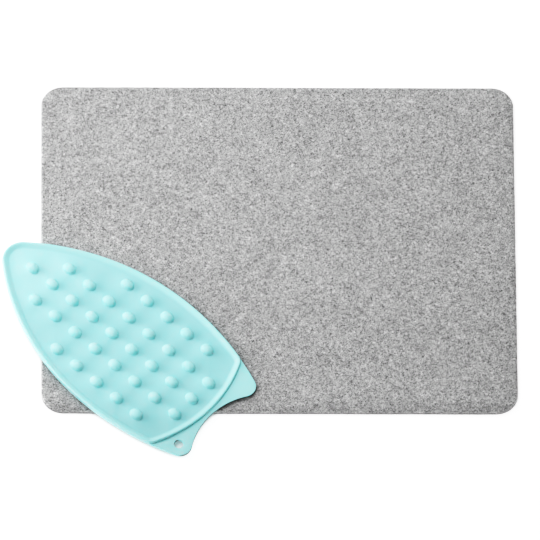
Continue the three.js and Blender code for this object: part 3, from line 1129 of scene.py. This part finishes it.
def silicone_colour(tree, coordinates):
    spot = add_node(tree, "ShaderNodeSeparateXYZ", {0: coordinates})
    floor_height = rest_low.z + FLOOR_THICKNESS
    above = add_share(tree, spot.outputs["Z"], floor_height, PAINTED_LIGHT_ABOVE)
    below = add_share(tree, spot.outputs["Z"], floor_height, PAINTED_LIGHT_BELOW)
    # Painted light: the floor's aqua is paler towards the nose, which lies over the white table; away from it the
    # floor's painted shade takes over.
    from_nose = add_node(tree, "ShaderNodeVectorMath", {0: coordinates, 1: nose_place}, operation="DISTANCE")
    shaded = add_fade(tree, from_nose.outputs["Value"], *NOSE_PAINTED_LIGHT_SPAN, 0.0)
    colour = add_mix(tree, shaded, AQUA_NOSE_PAINTED_LIGHT, AQUA_FLOOR_PAINTED_SHADE)
    # Painted light on the parts above and below the floor's level, the bead, the nubs and the ears; the floor keeps
    # its painted shade.
    colour = add_mix(tree, add_math(tree, "MAXIMUM", above, below), colour, AQUA_PAINTED_LIGHT)
    # Painted shade: the walls below the floor's level that face rearward, away from the light, turn dark grey.
    rearward = (math.cos(REST_TURN), math.sin(REST_TURN), 0)
    facing = add_node(tree, "ShaderNodeVectorMath", {
        0: add_node(tree, "ShaderNodeNewGeometry").outputs["Normal"], 1: rearward}, operation="DOT_PRODUCT")
    tail_wall_shade = add_math(tree, "MULTIPLY", below, add_fade(tree, facing.outputs["Value"], *TAIL_SHADE_FACING, 0.0))
    colour = add_mix(tree, tail_wall_shade, colour, TAIL_WALL_PAINTED_SHADE)
    # Painted shade: every tone is dimmer towards the front, where the lamps fall off.
    dim_start, dim_end = (mat_low.y + offset for offset in DIM_FRONT)
    dimming = add_fade(tree, spot.outputs["Y"], dim_start, dim_end, FRONT_PAINTED_SHADE_TONE)
    return add_node(tree, "ShaderNodeVectorMath", {0: colour, "Scale": dimming}, operation="SCALE")


print("the paler tone of the nose fades between, in mm:", [round(way / MM) for way in NOSE_PAINTED_LIGHT_SPAN])

# %% The silicone material
SILICONE_ROUGHNESS = 0.55
HANDLED_CLOUD = (12 * MM, 0.35)
TOOTH_SIZE = 0.7 * MM
TOOTH_BUMP = 0.02 * MM
TOOTH_STRENGTH = 0.25
SILICONE_IOR = 1.41
SCATTER_WEIGHT = 0.5
SCATTER_DEPTH = 1 * MM
SCATTER_SHARES = (0.3, 1.0, 1.0)


def silicone_nodes(tree, shader):
    coordinates = add_node(tree, "ShaderNodeTexCoord").outputs["Object"]
    tree.links.new(silicone_colour(tree, coordinates).outputs["Vector"], shader.inputs["Base Color"])
    handled = add_cloud(tree, coordinates, *HANDLED_CLOUD)
    roughness = add_math(tree, "MULTIPLY", handled.outputs["Tone"], SILICONE_ROUGHNESS)
    tree.links.new(roughness.outputs[0], shader.inputs["Roughness"])
    tooth = add_node(tree, "ShaderNodeTexNoise", {"Vector": coordinates, "Scale": 1 / TOOTH_SIZE, "Detail": 2.0})
    bump = add_node(tree, "ShaderNodeBump", {"Strength": TOOTH_STRENGTH, "Distance": TOOTH_BUMP, "Height": tooth})
    tree.links.new(bump.outputs["Normal"], shader.inputs["Normal"])
    shader.inputs["IOR"].default_value = SILICONE_IOR
    shader.inputs["Subsurface Weight"].default_value = SCATTER_WEIGHT
    shader.inputs["Subsurface Radius"].default_value = SCATTER_SHARES
    shader.inputs["Subsurface Scale"].default_value = SCATTER_DEPTH


silicone_nodes(silicone_tree, silicone_shader)
iron_rest.data.materials.clear()
iron_rest.data.materials.append(silicone_finish)
print("silicone material nodes:", len(silicone_tree.nodes))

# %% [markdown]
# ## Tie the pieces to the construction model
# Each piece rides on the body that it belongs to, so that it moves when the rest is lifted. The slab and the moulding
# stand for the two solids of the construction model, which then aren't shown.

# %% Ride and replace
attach(felt_slab, "mat")
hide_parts("felt_mat")
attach(edge_fuzz, "mat")
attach(iron_rest, "rest")
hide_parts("iron_rest")
